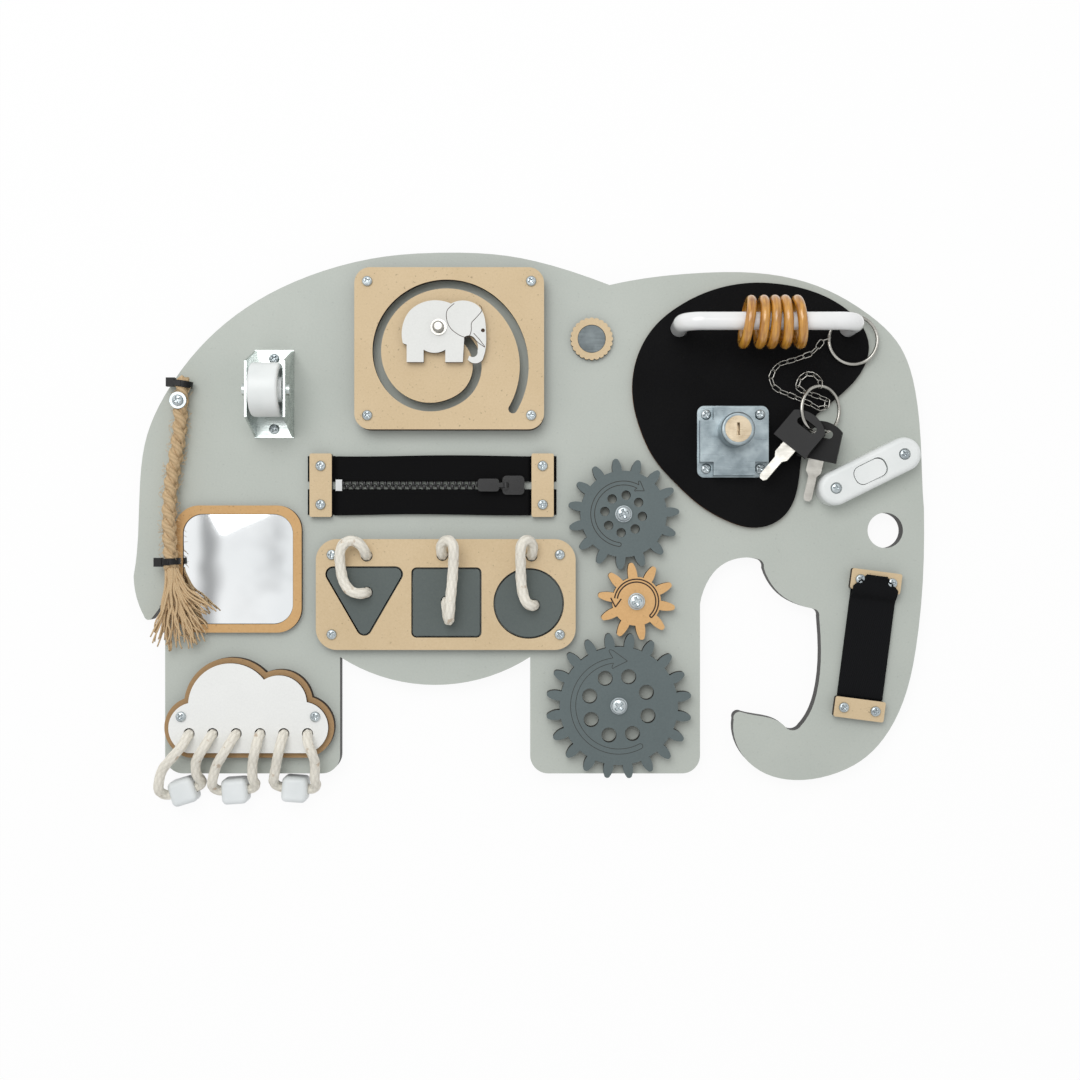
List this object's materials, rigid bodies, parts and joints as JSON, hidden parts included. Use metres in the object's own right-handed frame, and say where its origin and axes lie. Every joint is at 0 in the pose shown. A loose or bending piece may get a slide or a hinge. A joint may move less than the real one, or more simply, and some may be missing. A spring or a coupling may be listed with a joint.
{
  "type": "busy board",
  "caption": "Elephant-shaped wooden busy board with meshing gears, a winding slot figure, a zipper, a shape sorter, a lock, a mirror, a caster and a rope tail for toddlers.",
  "frame": {"origin": "centre of the bounding box's base, on the board's rear face", "axes": "+X towards the elephant's head, +Y towards its back, +Z out of the front face"},
  "size_m": [0.4511, 0.3159, 0.0508],
  "materials": {
    "board_paint": "painted light grey-green, satin",
    "ear_paint": "painted near black, satin",
    "panel_wood": "raw fibreboard with dark laser cut edges",
    "white_paint": "painted white",
    "zinc": "zinc plated",
    "nickel": "nickel plated",
    "magnet_metal": "brushed",
    "wheel_plastic": "white plastic",
    "tape_cloth": "woven polyester tape with plastic teeth",
    "cord_cloth": "twisted cotton cord",
    "jute": "twisted plant fibre",
    "tie_plastic": "black nylon",
    "cube_white": "painted white",
    "mirror_surface": "silvered acrylic",
    "frame_wood": "raw fibreboard",
    "gear_grey": "painted blue-grey with dark cut edges",
    "gear_tan": "painted light orange-tan with dark cut edges",
    "handle_white": "white gloss enamel",
    "ring_wood": "lacquered amber wood",
    "lock_metal": "satin zinc",
    "plug_metal": "satin",
    "key_black": "black",
    "switch_white": "white",
    "strap_cloth": "hook and loop tape",
    "zip_black": "black gloss enamel"
  },
  "bodies": {
    "board": {"main_board": "board_paint", "ear_panel": "ear_paint", "spiral_spacer": "panel_wood", "spiral_panel": "panel_wood", "magnet_rosette": "panel_wood", "magnet_disc": "magnet_metal", "caster_bracket": "zinc", "caster_axle": "zinc", "zipper_clamps": "panel_wood", "zipper_tape_upper": "tape_cloth", "zipper_tape_lower": "tape_cloth", "zipper_stop": "nickel", "sorter_panel": "panel_wood", "shape_cord_triangle": "cord_cloth", "shape_cord_square": "cord_cloth", "shape_cord_circle": "cord_cloth", "mirror_frame": "frame_wood", "mirror_glass": "mirror_surface", "cloud_back": "panel_wood", "cloud_front": "white_paint", "loop_cord_1": "cord_cloth", "loop_cord_2": "cord_cloth", "loop_cord_3": "cord_cloth", "loop_cubes": "cube_white", "tail_rope": "jute", "tail_ties": "tie_plastic", "tail_tassel": "jute", "tail_screw": "zinc", "gear_screws": "zinc", "pull_handle": "handle_white", "handle_screws": "zinc", "key_chain": "nickel", "split_rings": "nickel", "key_heads": "key_black", "key_blades": "nickel", "lock_body": "lock_metal", "switch_body": "switch_white", "velcro_bars": "panel_wood", "velcro_loop_strip": "strap_cloth", "panel_screws": "zinc"},
    "figure_carrier": {"figure_bolt": "nickel"},
    "figure": {"figure_plate": "white_paint"},
    "wheel": {"caster_wheel": "wheel_plastic"},
    "slider": {"zipper_slider": "zip_black"},
    "pull": {"zipper_pull": "zip_black"},
    "triangle": {"shape_triangle": "gear_grey"},
    "square": {"shape_square": "gear_grey"},
    "circle": {"shape_circle": "gear_grey"},
    "gear_large": {"gear_large": "gear_grey"},
    "gear_small": {"gear_small": "gear_tan"},
    "gear_medium": {"gear_medium": "gear_grey"},
    "ring_1": {"ring_1": "ring_wood"},
    "ring_2": {"ring_2": "ring_wood"},
    "ring_3": {"ring_3": "ring_wood"},
    "ring_4": {"ring_4": "ring_wood"},
    "ring_5": {"ring_5": "ring_wood"},
    "plug": {"lock_plug": "plug_metal"},
    "bolt": {"lock_bolt": "zinc"},
    "rocker": {"switch_rocker": "switch_white"},
    "flap": {"velcro_flap": "strap_cloth"}
  },
  "joints": [
    {"name": "figure_travel", "type": "hinge", "parent": "board", "child": "figure_carrier", "pos_m": [-0.0505, 0.0844, 0.016], "axis": [0, 0, 1], "range_deg": [-150, 0]},
    {"name": "figure_spin", "type": "hinge", "parent": "figure_carrier", "child": "figure", "pos_m": [-0.0505, 0.1059, 0.022], "axis": [0, 0, 1], "continuous": true},
    {"name": "wheel_roll", "type": "hinge", "parent": "board", "child": "wheel", "pos_m": [-0.145, 0.0697, 0.035], "axis": [1, 0, 0], "continuous": true},
    {"name": "zip_slide", "type": "slide", "parent": "board", "child": "slider", "axis": [1, 0, 0], "range_m": [-0.088, 0], "deforming": ["zipper_tape_upper", "zipper_tape_lower"]},
    {"name": "pull_lift", "type": "hinge", "parent": "slider", "child": "pull", "pos_m": [-0.013, 0.0176, 0.0162], "axis": [0, 1, 0], "range_deg": [0, 170]},
    {"name": "triangle_lift", "type": "slide", "parent": "board", "child": "triangle", "axis": [0, 0, 1], "range_m": [0, 0.025], "deforming": ["shape_cord_triangle"]},
    {"name": "square_lift", "type": "slide", "parent": "board", "child": "square", "axis": [0, 0, 1], "range_m": [0, 0.025], "deforming": ["shape_cord_square"]},
    {"name": "circle_lift", "type": "slide", "parent": "board", "child": "circle", "axis": [0, 0, 1], "range_m": [0, 0.025], "deforming": ["shape_cord_circle"]},
    {"name": "large_gear_spin", "type": "hinge", "parent": "board", "child": "gear_large", "pos_m": [0.05099, -0.10736, 0.014], "axis": [0, 0, 1], "continuous": true},
    {"name": "small_gear_spin", "type": "hinge", "parent": "board", "child": "gear_small", "pos_m": [0.061, -0.0482, 0.014], "axis": [0, 0, 1], "continuous": true},
    {"name": "medium_gear_spin", "type": "hinge", "parent": "board", "child": "gear_medium", "pos_m": [0.0537, 0.00127, 0.014], "axis": [0, 0, 1], "continuous": true},
    {"name": "ring_1_slide", "type": "slide", "parent": "board", "child": "ring_1", "axis": [1, 0, 0], "range_m": [-0.018, 0.004]},
    {"name": "ring_2_slide", "type": "slide", "parent": "ring_1", "child": "ring_2", "axis": [1, 0, 0], "range_m": [0, 0.003]},
    {"name": "ring_3_slide", "type": "slide", "parent": "ring_2", "child": "ring_3", "axis": [1, 0, 0], "range_m": [0, 0.003]},
    {"name": "ring_4_slide", "type": "slide", "parent": "ring_3", "child": "ring_4", "axis": [1, 0, 0], "range_m": [0, 0.003]},
    {"name": "ring_5_slide", "type": "slide", "parent": "ring_4", "child": "ring_5", "axis": [1, 0, 0], "range_m": [0, 0.003]},
    {"name": "plug_turn", "type": "hinge", "parent": "board", "child": "plug", "pos_m": [0.1159, 0.0479, 0.025], "axis": [0, 0, 1], "range_deg": [0, 180]},
    {"name": "bolt_throw", "type": "slide", "parent": "board", "child": "bolt", "axis": [0, 1, 0], "range_m": [0, 0.008]},
    {"name": "rocker_tilt", "type": "hinge", "parent": "board", "child": "rocker", "pos_m": [0.1921, 0.0252, 0.0206], "axis": [-0.4446, 0.8957, 0], "range_deg": [0, 16]},
    {"name": "flap_lift", "type": "hinge", "parent": "board", "child": "flap", "pos_m": [0.18837, -0.10334, 0.0129], "axis": [0.9917, -0.1288, 0], "range_deg": [0, 90]}
  ],
  "couplings": [
    {"joint": "small_gear_spin", "follows": "large_gear_spin", "ratio": -2},
    {"joint": "medium_gear_spin", "follows": "large_gear_spin", "ratio": 1.3333},
    {"joint": "bolt_throw", "follows": "plug_turn", "m_per_rad": 0.002546}
  ]
}
